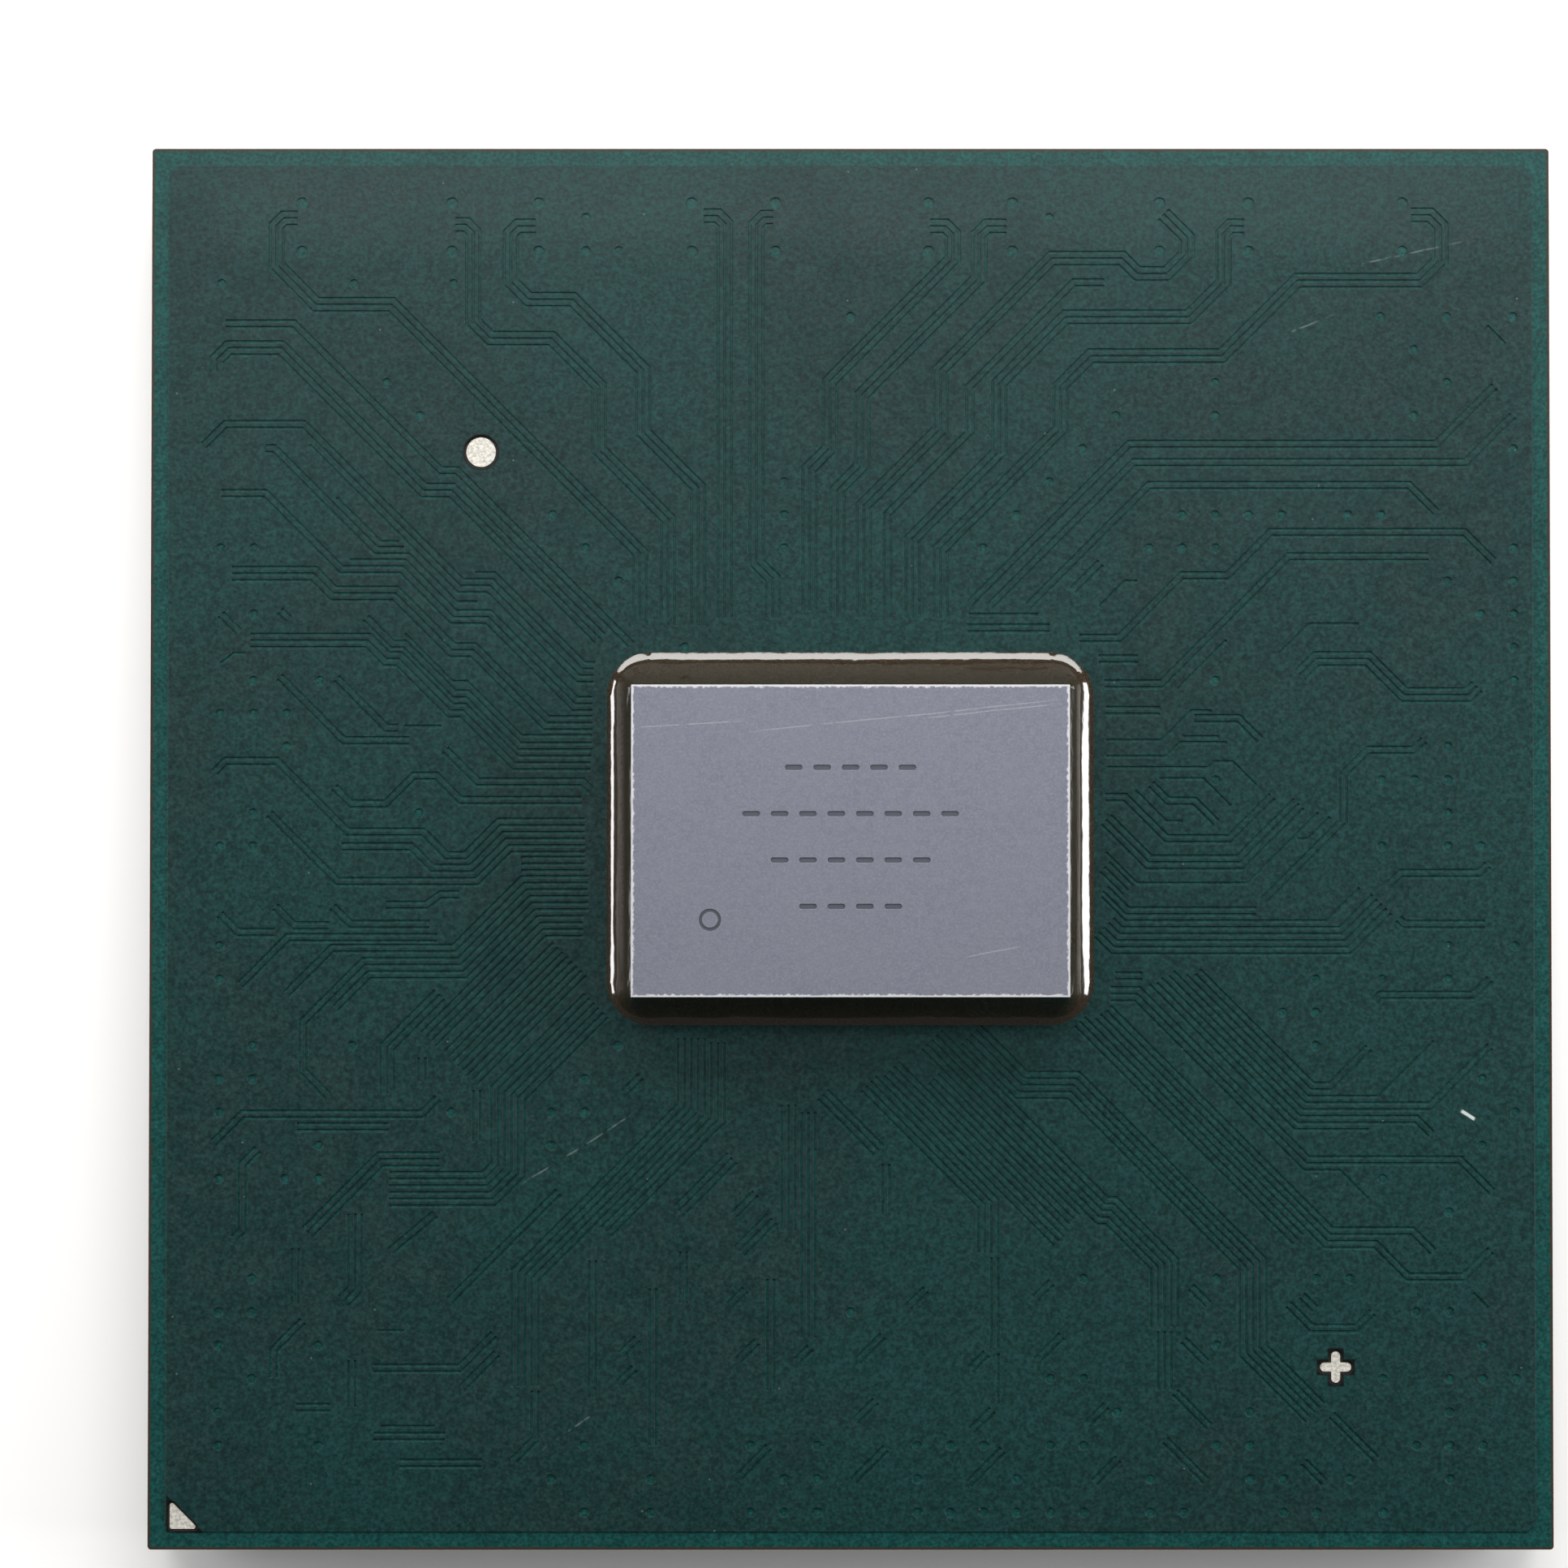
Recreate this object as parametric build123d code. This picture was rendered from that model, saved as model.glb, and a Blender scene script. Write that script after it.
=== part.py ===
from build123d import *
import math
import os

# A flip-chip ball grid array package in millimetres, die side up (+Z). The origin is the
# centre of the plane that its solder balls stand on, and its pin 1 corner is at -X -Y.

# Substrate
body_side = 19.0
body_corner_radius = 0.05
core_thickness = 0.8
buildup_thickness = 0.08
mask_thickness = 0.02
copper_relief = 0.015
top_border = 0.24
top_corner_cut = 0.12
bottom_border = 0.27
bottom_corner_cut = 0.2

# Solder balls and their lands
ball_pitch = 0.8
ball_diameter = 0.46
ball_opening = 0.38
ball_land_thickness = 0.015
ball_edge_clearance = 0.4

# Die, its copper pillars and the window in the solder mask under it
die_length = 5.87
die_width = 4.18
die_thickness = 0.775
die_centre_y = 0.06
pillar_height = 0.075
pillar_diameter = 0.09
pillar_pitch = 0.3
pillar_edge_clearance = 0.35
window_inset = 0.28

# Orientation ring engraved in the back of the die, from the die's centre
ring_x = -1.88
ring_y = -1.06
ring_diameter = 0.3
ring_line = 0.045
ring_depth = 0.01

# Plain engraved dashes in rows on the back of the die
dash_rows = (5, 8, 6, 4)
dash_length = 0.24
dash_line = 0.07
dash_pitch = 0.38
dash_row_pitch = 0.62
dash_rows_y = 0.05

# Underfill fillet around the die
fillet_height = 0.7
fillet_west = 0.37
fillet_east = 0.36
fillet_south = 0.39
fillet_north = 0.49
fillet_corner_radius = 0.6
fillet_top_radius = 0.02
fillet_slope_share = 0.45
fillet_sections = 7

# Bare metal marks in openings of the top mask, from the body's sides
mark_thickness = 0.018
mark_clearance = 0.03
dot_diameter = 0.4
dot_from_west = 4.48
dot_from_north = 4.14
cross_span = 0.42
cross_arm = 0.12
cross_from_east = 2.94
cross_from_south = 2.46
triangle_leg = 0.39
triangle_corner_radius = 0.03
triangle_from_west = 0.3
triangle_from_south = 0.28

# Clearance gaps beside the copper traces, which the top mask sinks into
gap_width = 0.04
gap_pitch = 0.09

# Vias, seen as dimples in the top mask, on a grid from the body's centre
via_diameter = 0.13
via_pitch = 0.45
end_via_diameter = 0.16
end_via_rows = (8.75, 8.09)
end_via_columns = (-7.46, -5.42, -4.24, -2.16, -1.02, 1.06, 2.2, 4.2, 5.41, 7.5)

# Clearings in the copper plane between the first two ball rows, at every second column
clearing_width = 0.72
clearing_height = 0.26
clearing_columns = range(2, 21, 2)

# Routes of the traces, laid by hand from the body's centre: how many gaps run side by side,
# and the points of their middle line.
north_west = [
    (3, [(-7.52, 8.54), (-7.70, 8.54), (-7.80, 8.44), (-7.80, 7.90), (-7.27, 7.36), (-6.24, 7.36),
         (-2.86, 3.98), (-2.86, 3.00)]),
    (2, [(-8.50, 7.10), (-7.57, 7.10), (-5.57, 5.10), (-5.35, 5.10), (-2.98, 2.73)]),
    (3, [(-8.60, 6.45), (-8.60, 6.62), (-8.45, 6.77), (-7.74, 6.77), (-5.80, 4.83), (-5.42, 4.83),
         (-3.40, 2.81)]),
    (2, [(-8.78, 5.44), (-8.49, 5.73), (-7.43, 5.73), (-5.28, 3.58), (-4.88, 3.58), (-3.66, 2.36),
         (-3.48, 2.36)]),
    (1, [(-7.35, 5.459), (-5.336, 3.445), (-4.936, 3.445), (-3.716, 2.225), (-3.48, 2.225)]),
    (1, [(-5.10, 3.715), (-4.824, 3.715), (-3.604, 2.495), (-3.46, 2.495)]),
    (1, [(-7.95, 5.445), (-7.811, 5.445), (-6.426, 4.06), (-6.06, 4.06)]),
    (1, [(-7.95, 5.355), (-7.849, 5.355), (-6.464, 3.97), (-5.992, 3.97), (-5.342, 3.32), (-5.06, 3.32)]),
    (1, [(-6.98, 4.74), (-6.38, 4.14), (-6.13, 4.14)]),
    (2, [(-8.55, 4.79), (-7.95, 4.79), (-6.915, 3.755), (-6.10, 3.755), (-5.41, 3.065), (-4.94, 3.065),
         (-3.76, 1.885), (-3.50, 1.885)]),
    (1, [(-6.80, 3.89), (-6.044, 3.89), (-5.354, 3.20), (-4.884, 3.20), (-3.704, 2.02), (-3.50, 2.02)]),
    (3, [(-8.40, 3.70), (-7.29, 3.70), (-7.02, 3.43), (-6.18, 3.43), (-5.41, 2.66), (-5.12, 2.66),
         (-4.13, 1.67), (-3.50, 1.67)]),
    (1, [(-6.05, 2.89), (-5.40, 2.24), (-5.20, 2.24), (-4.465, 1.505), (-3.50, 1.505)]),
    (2, [(-6.58, 3.10), (-6.22, 2.74), (-6.05, 2.74), (-5.375, 2.065), (-5.20, 2.065), (-4.49, 1.355),
         (-3.50, 1.355)]),
    (3, [(-8.15, 2.79), (-6.55, 2.79), (-6.30, 2.54), (-6.13, 2.54), (-5.43, 1.84), (-5.26, 1.84),
         (-4.55, 1.13), (-3.52, 1.13)]),
    (2, [(-8.55, 3.15), (-8.30, 2.90)]),
    (2, [(-7.75, 3.20), (-7.62, 3.07)]),
    (1, [(-8.55, 2.48), (-8.37, 2.62), (-8.20, 2.62)]),
    (3, [(-5.38, 8.45), (-5.23, 8.45), (-5.13, 8.35), (-5.13, 7.13), (-4.90, 6.90), (-4.07, 6.90),
         (-3.42, 6.25), (-3.42, 5.38), (-2.48, 4.44), (-2.48, 3.00)]),
    (3, [(-4.28, 8.43), (-4.52, 8.43), (-4.62, 8.33), (-4.62, 7.67), (-4.38, 7.43), (-3.78, 7.43),
         (-2.82, 6.47), (-2.82, 5.62), (-2.07, 4.87), (-2.07, 3.00)]),
]
north = [
    (3, [(-2.00, 8.57), (-1.81, 8.57), (-1.71, 8.47), (-1.71, 3.10)]),
    (3, [(-1.05, 8.55), (-1.18, 8.55), (-1.28, 8.45), (-1.28, 3.85), (-1.06, 3.63), (-1.06, 3.10)]),
    (3, [(1.08, 8.43), (1.29, 8.43), (1.39, 8.33), (1.39, 7.98), (-0.28, 6.31), (-0.28, 5.40),
         (-0.56, 5.12), (-0.56, 3.20)]),
    (3, [(2.12, 8.43), (1.86, 8.43), (1.75, 8.32), (1.75, 7.72), (0.16, 6.13), (0.16, 5.17),
         (-0.18, 4.83), (-0.18, 3.10)]),
    (3, [(4.25, 8.60), (4.57, 8.28), (4.57, 8.05), (4.30, 7.78), (3.90, 7.78), (3.69, 7.99),
         (2.74, 7.99), (1.22, 6.47), (1.22, 5.66), (0.18, 4.62), (0.18, 3.10)]),
    (2, [(3.45, 7.66), (3.04, 7.66), (1.62, 6.24), (1.62, 5.62), (0.50, 4.50), (0.50, 3.10)]),
    (3, [(5.35, 8.43), (5.17, 8.43), (5.07, 8.33), (5.07, 7.66), (4.60, 7.19), (2.93, 7.19),
         (2.02, 6.28), (2.02, 5.35), (0.84, 4.17), (0.84, 3.10)]),
    (3, [(7.62, 8.58), (7.88, 8.58), (8.02, 8.44), (8.02, 7.97), (7.74, 7.69), (6.08, 7.69),
         (5.05, 6.66), (3.27, 6.66), (2.85, 6.24), (2.85, 5.66), (1.22, 4.03), (1.22, 3.10)]),
]
north_east = [
    (2, [(8.75, 6.25), (7.96, 5.46), (3.79, 5.46), (1.62, 3.29)]),
    (2, [(9.00, 5.85), (8.36, 5.21), (3.85, 5.21), (1.90, 3.26)]),
    (2, [(7.95, 4.53), (7.58, 4.90), (4.06, 4.90), (2.42, 3.26)]),
    (1, [(2.55, 3.15), (1.60, 3.15)]),
    (2, [(2.70, 2.96), (1.58, 2.96)]),
    (2, [(8.72, 3.87), (8.33, 4.26), (5.71, 4.26), (5.12, 3.67), (4.50, 3.67), (3.65, 2.82), (3.10, 2.82)]),
    (2, [(7.85, 3.93), (5.95, 3.93), (4.22, 2.20), (3.44, 2.20)]),
    (1, [(5.10, 2.80), (4.44, 2.14)]),
    (1, [(6.90, 3.02), (6.22, 3.02), (5.83, 2.63)]),
    (3, [(6.10, 2.32), (6.32, 2.54), (7.02, 2.54), (7.51, 2.05), (8.38, 2.05), (8.50, 2.17)]),
    (2, [(3.36, 2.54), (3.90, 2.54)]),
    (2, [(3.40, 3.85), (3.02, 3.47)]),
    (1, [(3.90, 3.60), (3.72, 3.60), (3.38, 3.26)]),
    (1, [(8.65, 7.08), (8.90, 6.83)]),
]
east = [
    (2, [(3.46, 1.84), (4.20, 1.84)]),
    (1, [(3.46, 1.44), (4.22, 1.44), (4.62, 1.84), (4.90, 1.84)]),
    (1, [(3.46, 1.22), (4.28, 1.22), (4.47, 1.41), (5.10, 1.41)]),
    (1, [(4.50, 1.49), (5.00, 1.49)]),
    (2, [(4.66, 1.73), (5.26, 1.73), (5.55, 1.44)]),
    (1, [(3.46, 1.07), (4.85, 1.07), (4.93, 1.15), (5.18, 1.15), (5.50, 0.83)]),
    (1, [(4.18, 0.92), (4.78, 0.92), (5.15, 0.55)]),
    (2, [(4.07, 0.84), (4.30, 0.61), (4.66, 0.61), (4.95, 0.32)]),
    (1, [(3.86, 0.76), (4.28, 0.34), (4.50, 0.34)]),
    (2, [(3.44, 0.66), (3.72, 0.66), (4.28, 0.10), (5.14, 0.10), (5.72, 0.68)]),
    (3, [(3.46, 0.36), (4.04, -0.22), (5.28, -0.22), (6.08, 0.58)]),
    (1, [(3.46, -0.08), (3.88, -0.50), (5.38, -0.50), (6.34, 0.46)]),
    (1, [(6.06, 0.10), (6.20, 0.10), (6.50, 0.40)]),
    (2, [(5.60, -0.74), (6.68, 0.34), (6.68, 0.96), (7.02, 1.30), (7.64, 1.30), (7.78, 1.44)]),
    (3, [(3.44, -0.28), (3.76, -0.60)]),
    (2, [(3.45, -0.58), (3.75, -0.88), (5.50, -0.88)]),
    (1, [(3.40, -0.69), (3.72, -1.01), (6.45, -1.01), (6.90, -0.56)]),
    (5, [(3.43, -1.102), (3.608, -1.28), (6.70, -1.28), (7.20, -0.78)]),
    (2, [(7.30, -0.53), (7.46, -0.37), (8.52, -0.37), (8.64, -0.25)]),
    (2, [(7.42, -0.98), (7.50, -1.06), (8.60, -1.06)]),
    (2, [(7.10, -2.10), (7.18, -2.02), (8.44, -2.02), (8.66, -1.80)]),
]
south_east = [
    (2, [(3.58, -1.76), (3.95, -1.76)]),
    (2, [(4.70, -1.70), (6.25, -3.25), (6.50, -3.25), (7.02, -2.73)]),
    (1, [(4.55, -1.74), (6.195, -3.385), (7.15, -3.385), (7.90, -2.635)]),
    (2, [(4.34, -1.721), (6.139, -3.52), (7.85, -3.52), (8.66, -2.71)]),
    (2, [(4.18, -1.816), (6.064, -3.70), (7.66, -3.70), (7.86, -3.90)]),
    (1, [(4.05, -1.877), (6.008, -3.835), (7.02, -3.835)]),
    (2, [(3.52, -1.96), (3.90, -1.96), (6.19, -4.25), (8.25, -4.25), (8.68, -4.68)]),
    (1, [(3.52, -2.095), (3.844, -2.095), (6.134, -4.385), (6.62, -4.385), (7.00, -4.765)]),
    (2, [(3.49, -2.193), (6.507, -5.21), (7.60, -5.21), (7.88, -5.49)]),
    (2, [(3.35, -2.307), (6.433, -5.39), (7.10, -5.39), (7.54, -5.83), (8.30, -5.83), (8.66, -5.47)]),
    (1, [(8.42, -6.04), (8.62, -6.24)]),
    (3, [(3.10, -2.374), (6.05, -5.324)]),
    (5, [(1.63, -2.55), (2.32, -3.24), (3.02, -3.24), (5.44, -5.66), (5.44, -6.82), (6.28, -7.66)]),
    (2, [(6.50, -7.69), (7.10, -8.29)]),
    (5, [(1.095, -2.625), (3.405, -4.935), (3.525, -4.935), (4.245, -5.655), (4.245, -6.50)]),
    (3, [(1.12, -3.15), (3.02, -5.05)]),
    (4, [(0.55, -3.016), (2.85, -5.316)]),
    (4, [(0.24, -3.215), (1.86, -4.835), (1.86, -5.50)]),
    (2, [(1.95, -5.56), (1.95, -6.80)]),
    (1, [(1.995, -6.86), (1.995, -7.55)]),
    (3, [(4.245, -6.56), (4.245, -7.35)]),
    (2, [(4.60, -5.96), (4.84, -6.20)]),
    (2, [(4.50, -6.68), (4.80, -6.98)]),
    (2, [(4.38, -7.38), (4.85, -7.85)]),
    (2, [(4.25, -8.03), (4.80, -8.58)]),
    (2, [(6.10, -6.08), (6.28, -6.26)]),
    (2, [(5.92, -6.20), (6.24, -6.52), (6.84, -6.52), (7.06, -6.30)]),
    (2, [(6.12, -8.32), (6.40, -8.60)]),
]
south = [
    (3, [(-0.38, -3.36), (0.38, -4.12)]),
    (3, [(-0.57, -3.60), (-0.57, -6.65)]),
    (3, [(-0.84, -3.50), (-0.84, -5.20)]),
    (2, [(-1.08, -5.85), (-1.08, -7.35)]),
    (2, [(0.48, -4.30), (0.48, -5.00)]),
    (2, [(2.72, -5.90), (2.50, -6.12)]),
    (2, [(2.86, -6.62), (2.52, -6.96)]),
    (2, [(0.44, -6.62), (0.10, -6.96)]),
    (2, [(0.34, -7.50), (0.06, -7.78)]),
    (2, [(0.48, -8.14), (0.04, -8.58)]),
    (2, [(-1.10, -8.12), (-1.52, -8.54)]),
    (2, [(1.92, -7.62), (1.64, -7.90)]),
    (2, [(2.06, -8.16), (1.60, -8.62)]),
    (2, [(3.62, -8.28), (3.30, -8.60)]),
    (2, [(3.46, -7.56), (3.20, -7.82)]),
    (2, [(1.84, -6.86), (1.62, -7.08)]),
    (2, [(1.02, -6.00), (0.78, -6.24)]),
    (2, [(-0.54, -6.78), (-0.72, -6.96)]),
    (2, [(-1.26, -6.70), (-1.52, -6.96)]),
    (2, [(-1.42, -6.00), (-1.64, -6.22)]),
    (3, [(-1.06, -5.04), (-1.50, -5.48)]),
    (2, [(-1.28, -4.70), (-1.58, -5.00)]),
    (3, [(-1.60, -4.22), (-2.32, -4.94)]),
    (3, [(-1.795, -2.66), (-1.795, -3.713), (-3.30, -5.218)]),
    (5, [(-2.155, -2.60), (-2.155, -3.565), (-4.40, -5.81), (-4.40, -7.30)]),
    (2, [(-4.265, -7.36), (-4.265, -8.02), (-4.55, -8.305)]),
    (2, [(-4.78, -6.86), (-5.25, -7.33)]),
    (2, [(-3.49, -5.60), (-3.49, -7.45)]),
    (2, [(-2.26, -5.48), (-2.26, -6.18)]),
    (2, [(-2.67, -5.98), (-2.67, -8.10)]),
    (2, [(-3.10, -6.88), (-2.88, -6.66)]),
    (2, [(-3.12, -7.26), (-2.92, -7.06)]),
    (2, [(-3.06, -3.34), (-2.84, -3.12)]),
]
south_west = [
    (2, [(-4.82, -6.60), (-5.28, -7.06), (-6.45, -7.06)]),
    (2, [(-3.95, -4.68), (-5.42, -6.15)]),
    (6, [(-3.44, -2.16), (-4.635, -3.355), (-4.635, -4.38), (-4.895, -4.64), (-6.25, -4.64)]),
    (3, [(-7.35, -5.23), (-6.36, -4.24), (-5.56, -4.24)]),
    (8, [(-3.80, -1.53), (-5.28, -3.01)]),
    (2, [(-5.06, -3.30), (-5.06, -4.00)]),
    (4, [(-5.71, -2.6125), (-4.1825, -1.085), (-3.62, -1.085)]),
    (2, [(-5.80, -3.18), (-5.80, -2.86)]),
    (3, [(-6.27, -3.35), (-6.27, -2.72), (-5.56, -2.01)]),
    (2, [(-8.62, -4.02), (-8.23, -3.63), (-5.80, -3.63), (-5.58, -3.41)]),
    (2, [(-7.50, -3.80), (-6.25, -3.80)]),
    (2, [(-8.02, -4.10), (-8.23, -4.31), (-8.23, -5.20), (-8.34, -5.31)]),
    (3, [(-6.70, -4.97), (-6.70, -6.00), (-6.86, -6.16)]),
    (2, [(-7.51, -5.44), (-7.51, -6.20)]),
    (2, [(-7.40, -6.42), (-7.80, -6.82), (-7.80, -7.18)]),
    (2, [(-7.50, -7.59), (-7.03, -7.59)]),
    (2, [(-6.74, -6.95), (-6.74, -7.58)]),
    (1, [(-6.40, -6.55), (-6.03, -6.55)]),
    (1, [(-6.35, -7.84), (-5.62, -7.84)]),
    (2, [(-6.45, -7.98), (-5.48, -7.98)]),
    (2, [(-6.10, -8.34), (-4.98, -8.34)]),
    (2, [(-6.22, -5.48), (-5.62, -4.98)]),
]
west = [
    (2, [(-7.75, 2.30), (-6.88, 1.43), (-5.98, 1.43)]),
    (2, [(-6.98, 2.28), (-6.30, 1.60), (-6.14, 1.60)]),
    (1, [(-6.05, 1.63), (-5.55, 1.63)]),
    (2, [(-5.50, 1.31), (-5.06, 0.87), (-3.64, 0.87), (-3.52, 0.75)]),
    (2, [(-7.00, 0.80), (-6.77, 0.57), (-6.30, 0.57), (-5.92, 0.95), (-5.62, 0.95), (-5.29, 0.62),
         (-3.64, 0.62)]),
    (2, [(-8.62, 1.00), (-8.47, 1.15), (-7.78, 1.15), (-6.82, 0.19), (-5.80, 0.19), (-5.48, -0.13),
         (-5.22, -0.13), (-4.765, 0.325), (-3.60, 0.325)]),
    (2, [(-6.90, -0.01), (-5.96, -0.01), (-5.67, -0.30), (-5.136, -0.30), (-4.691, 0.145), (-3.60, 0.145)]),
    (2, [(-7.88, 0.44), (-6.96, -0.48), (-5.06, -0.48), (-4.615, -0.035), (-3.60, -0.035)]),
    (3, [(-4.46, -0.24), (-3.60, -0.24)]),
    (2, [(-8.55, -0.92), (-8.30, -1.17), (-7.80, -1.17)]),
    (2, [(-7.80, -0.82), (-7.54, -1.08), (-7.06, -1.08)]),
    (2, [(-7.02, -0.82), (-6.78, -1.06), (-5.70, -1.06)]),
    (2, [(-8.26, -1.88), (-7.62, -1.24), (-5.60, -1.24)]),
    (2, [(-7.64, -2.005), (-7.02, -1.385), (-5.37, -1.385), (-4.44, -0.455), (-3.55, -0.455)]),
    (2, [(-7.08, -3.38), (-7.41, -3.05), (-7.41, -2.38), (-6.595, -1.565), (-5.297, -1.565),
         (-4.367, -0.635), (-3.55, -0.635)]),
    (2, [(-6.97, -2.195), (-6.52, -1.745), (-5.223, -1.745), (-4.293, -0.815), (-3.55, -0.815)]),
    (2, [(-6.30, -0.80), (-5.75, -0.80), (-5.55, -0.66), (-5.30, -0.66)]),
]
routes = north_west + north + north_east + east
routes += south_east + south + south_west + west

# Rows of vias: the row's number on the via grid, and the columns that hold one
via_rows = {
    19: [-8, 6],
    18: [-8, -7],
    17: [-19, -15, -12],
    16: [0, 16, 18, 20],
    15: [17],
    14: [-14, 11, 18],
    13: [-13, 8, 11, 17],
    12: [7, 20],
    11: [-2, 6],
    10: [-9, -2, 5, 10, 11, 12, 13, 15, 16],
    9: [-19, -18, -8, -2, 4, 9, 10, 11, 20],
    8: [-7, 18, 20],
    7: [-18, 19, 20],
    6: [-5, 20],
    5: [-18, -16, 11, 20],
    4: [-19, -18, -17],
    3: [-17, 18],
    2: [11, 16, 17, 18],
    1: [-18, -13, 18],
    0: [-19, -18, 16, 18, 19],
    -3: [-19, 18, 20],
    -4: [-19, 14, 16, 18],
    -5: [13, 14],
    -6: [-18, -15, -7, 14],
    -7: [-19, -18, -8, 19],
    -8: [-19, -12, -9, -8, 20],
    -9: [-16, -9, 19],
    -10: [-19, -17, -16, 16],
    -11: [18],
    -13: [-18, 7, 11, 14, 15],
    -14: [-19, -18, 0, 17, 18],
    -15: [-19, -16, 11, 19],
    -16: [-18, 6, 7, 16, 18, 19, 20],
    -17: [-19, 8, 12, 18],
    -18: [-19, -16, -8, -3, -1, 2, 3, 4, 6, 7, 11, 12, 17, 18, 19],
    -19: [-9, -6, -2, -1, 2, 5, 9, 12, 13, 15, 18],
    -20: [-8, -6, -3, -2, -1, 2, 3, 4, 5, 6, 7, 9, 10, 13, 14, 16],
}

# Heights, from the plane that the balls stand on
ball_radius = ball_diameter / 2
opening_radius = ball_opening / 2
standoff = ball_radius + math.sqrt(ball_radius**2 - opening_radius**2)
mask_total = mask_thickness + copper_relief
z_bottom_buildup = standoff + mask_total
z_core = z_bottom_buildup + buildup_thickness
z_top_buildup = z_core + core_thickness
z_top_mask = z_top_buildup + buildup_thickness
z_plane = z_top_mask + mask_total
z_die = z_top_mask + pillar_height

ball_margin = ball_edge_clearance + ball_radius
ball_rows = int((body_side - 2 * ball_margin) / ball_pitch) + 1


def slab(outline, low, height):
    return Pos(0, 0, low) * extrude(outline, height)


def body_outline():
    return RectangleRounded(body_side, body_side, body_corner_radius)


def plane_outline(border, cut):
    side = body_side - 2 * border
    square = Rectangle(side, side)
    return chamfer(square.vertices(), cut)


def grid_places(count_x, count_y, pitch, centre_y=0.0):
    for i in range(count_x):
        for j in range(count_y):
            x = (i - (count_x - 1) / 2) * pitch
            yield x, centre_y + (j - (count_y - 1) / 2) * pitch


def row_name(index):
    letters = "ABCDEFGHJKLMNPRTUVWY"
    wrap, place = divmod(index, len(letters))
    prefix = letters[wrap - 1] if wrap else ""
    return (prefix + letters[place]).lower()


def ball():
    neck = opening_radius
    start = (0, 0)
    top = z_bottom_buildup - ball_land_thickness
    profile = ThreePointArc(start, (ball_radius, ball_radius), (neck, standoff))
    profile += Polyline((neck, standoff), (neck, top), (0, top), start)
    return revolve(Plane.XZ * make_face(profile), Axis.Z)


def row_of_balls(index):
    x = (index - (ball_rows - 1) / 2) * ball_pitch
    one = ball()
    places = [(j - (ball_rows - 1) / 2) * ball_pitch for j in range(ball_rows)]
    return Compound(children=[Pos(x, y, 0) * one for y in places])


def ball_lands():
    low = z_bottom_buildup - ball_land_thickness
    disc = slab(Circle(opening_radius), low, ball_land_thickness)
    places = grid_places(ball_rows, ball_rows, ball_pitch)
    return Compound(children=[Pos(x, y, 0) * disc for x, y in places])


def round_hole(x, y, radius):
    return (Pos(x, y) * Circle(radius)).wire()


def perforated(outline, holes):
    return Face(outline.wire(), holes)


def bottom_solder_mask():
    holes = [round_hole(x, y, opening_radius) for x, y in grid_places(ball_rows, ball_rows, ball_pitch)]
    base = extrude(perforated(body_outline(), holes), mask_thickness)
    copper = plane_outline(bottom_border, bottom_corner_cut)
    raised = extrude(perforated(copper, holes + clearings()), copper_relief)
    return Pos(0, 0, standoff) * raised + Pos(0, 0, standoff + copper_relief) * base


def clearings():
    """Bare rectangles in the copper plane, half way between the two rows nearest the north side."""
    y = ((ball_rows - 1) / 2 - 0.5) * ball_pitch
    places = [(column - (ball_rows - 1) / 2) * ball_pitch for column in clearing_columns]
    return [(Pos(x, y) * Rectangle(clearing_width, clearing_height)).wire() for x in places]


def pillar_places():
    inset = 2 * pillar_edge_clearance + pillar_diameter
    count_x = int((die_length - inset) / pillar_pitch) + 1
    count_y = int((die_width - inset) / pillar_pitch) + 1
    return list(grid_places(count_x, count_y, pillar_pitch, die_centre_y))


def copper_pillars():
    pillar = slab(Circle(pillar_diameter / 2), z_top_mask, pillar_height)
    return Compound(children=[Pos(x, y, 0) * pillar for x, y in pillar_places()])


def die_block():
    return Pos(0, die_centre_y, 0) * slab(Rectangle(die_length, die_width), z_die, die_thickness)


def dash_shapes():
    dash = SlotOverall(dash_length, dash_line)
    for row, count in enumerate(dash_rows):
        y = dash_rows_y - (row - (len(dash_rows) - 1) / 2) * dash_row_pitch
        for k in range(count):
            yield Pos((k - (count - 1) / 2) * dash_pitch, y) * dash


def silicon_die():
    ring = Circle(ring_diameter / 2) - Circle(ring_diameter / 2 - ring_line)
    engraved = [Pos(ring_x, ring_y) * ring, *dash_shapes()]
    place = Pos(0, die_centre_y, z_die + die_thickness - ring_depth)
    return die_block() - [place * extrude(shape, ring_depth) for shape in engraved]


def fillet_section(share):
    """The fillet's outline at a share of its height, with its rounded corners."""
    left = 1 - share
    curve = 1 - math.sqrt(1 - left**2)
    reach = fillet_slope_share * left + (1 - fillet_slope_share) * curve
    west = -die_length / 2 - fillet_west * reach
    east = die_length / 2 + fillet_east * reach
    south = die_centre_y - die_width / 2 - fillet_south * reach
    north = die_centre_y + die_width / 2 + fillet_north * reach
    radius = fillet_top_radius + (fillet_corner_radius - fillet_top_radius) * reach
    outline = RectangleRounded(east - west, north - south, radius)
    return Pos((east + west) / 2, (south + north) / 2, z_plane + fillet_height * share) * outline


def window_outline():
    outline = Rectangle(die_length - 2 * window_inset, die_width - 2 * window_inset)
    return Pos(0, die_centre_y) * outline


def underfill():
    sections = [fillet_section(k / (fillet_sections - 1)) for k in range(fillet_sections)]
    pool = loft(sections)
    sunk = slab(window_outline(), z_top_mask, mask_total)
    return pool + sunk - die_block() - copper_pillars()


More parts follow.
